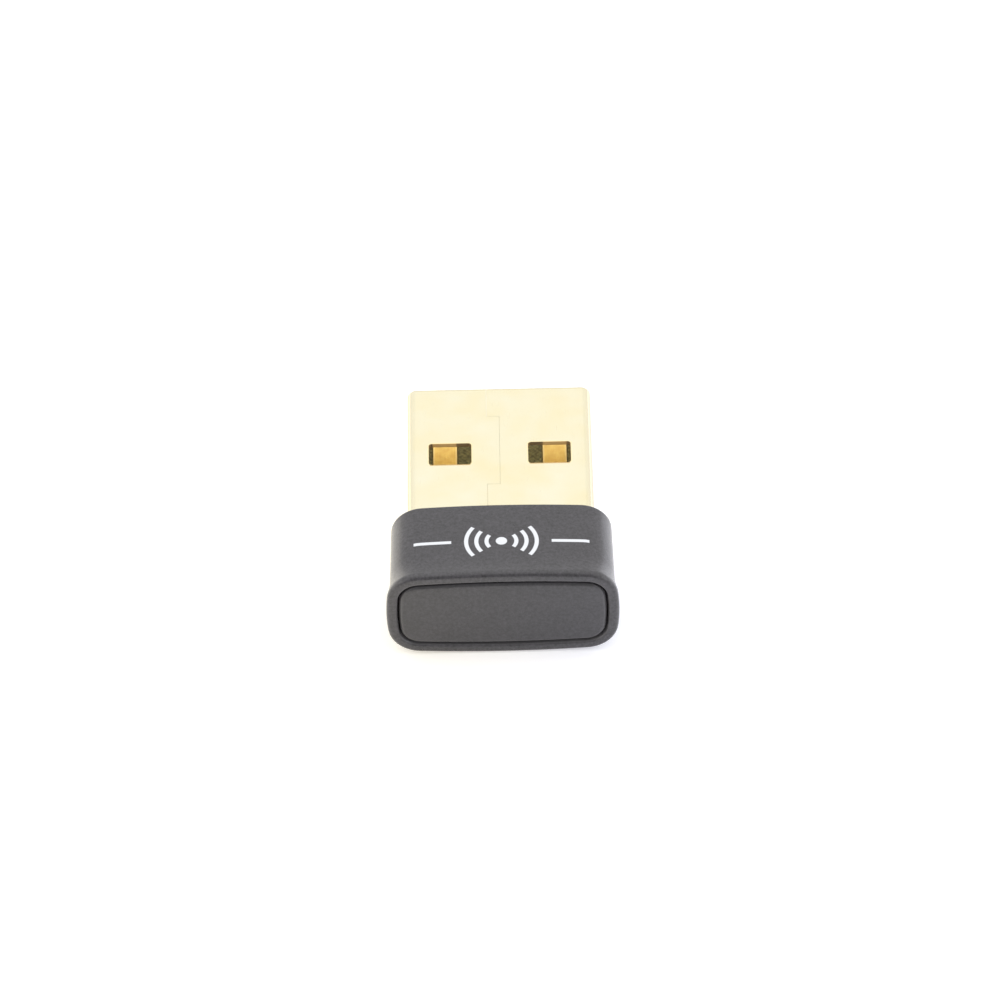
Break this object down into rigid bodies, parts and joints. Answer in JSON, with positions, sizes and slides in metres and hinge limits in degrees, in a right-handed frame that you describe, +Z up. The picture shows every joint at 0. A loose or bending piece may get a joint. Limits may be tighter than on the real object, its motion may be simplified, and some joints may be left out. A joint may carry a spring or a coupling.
{
  "type": "usb wireless adapter",
  "caption": "Nano USB-A radio adapter: a gold plated folded sheet plug on a short dark plastic housing that flares to a rim round a flat inset end panel.",
  "frame": {"origin": "centre of the housing's shoulder face, on the plug's axis: the face that stops against the socket", "axes": "+Y along the plug towards its tip, +Z up through the plug's open contact side, +X to the right seen from the end panel"},
  "size_m": [0.0148, 0.0191, 0.0068],
  "materials": {
    "gold_plating": "satin pale gold plating",
    "contact_gold": "gold plated contact",
    "housing_plastic": "fine matte dark grey moulding",
    "panel_plastic": "fine matte dark grey moulding",
    "carrier_plastic": "black moulded insulator",
    "board_laminate": "dark green solder mask",
    "board_copper": "copper under solder mask",
    "chip_moulding": "black chip moulding",
    "crystal_metal": "plated lid",
    "ferrite": "dark ferrite",
    "capacitor_ceramic": "tan ceramic",
    "resistor_ceramic": "black topped ceramic"
  },
  "bodies": {
    "root": {"band_pass_filter": "capacitor_ceramic", "bias_resistor": "resistor_ceramic", "board_carrier": "carrier_plastic", "circuit_board": "board_laminate", "crystal": "crystal_metal", "crystal_capacitor_1": "capacitor_ceramic", "crystal_capacitor_2": "capacitor_ceramic", "data_minus_contact": "contact_gold", "data_plus_contact": "contact_gold", "end_cap": "panel_plastic", "ferrite_bead": "ferrite", "ground_contact": "contact_gold", "housing": "housing_plastic", "match_capacitor": "capacitor_ceramic", "match_inductor": "capacitor_ceramic", "memory_chip": "chip_moulding", "plug_shell": "gold_plating", "power_contact": "contact_gold", "power_inductor": "ferrite", "printed_antenna": "board_copper", "pull_up_resistor": "resistor_ceramic", "radio_chip": "chip_moulding", "supply_capacitor_1": "capacitor_ceramic", "supply_capacitor_2": "capacitor_ceramic", "supply_capacitor_3": "capacitor_ceramic", "supply_capacitor_4": "capacitor_ceramic", "surge_protector": "chip_moulding", "voltage_regulator": "chip_moulding"}
  },
  "joints": []
}
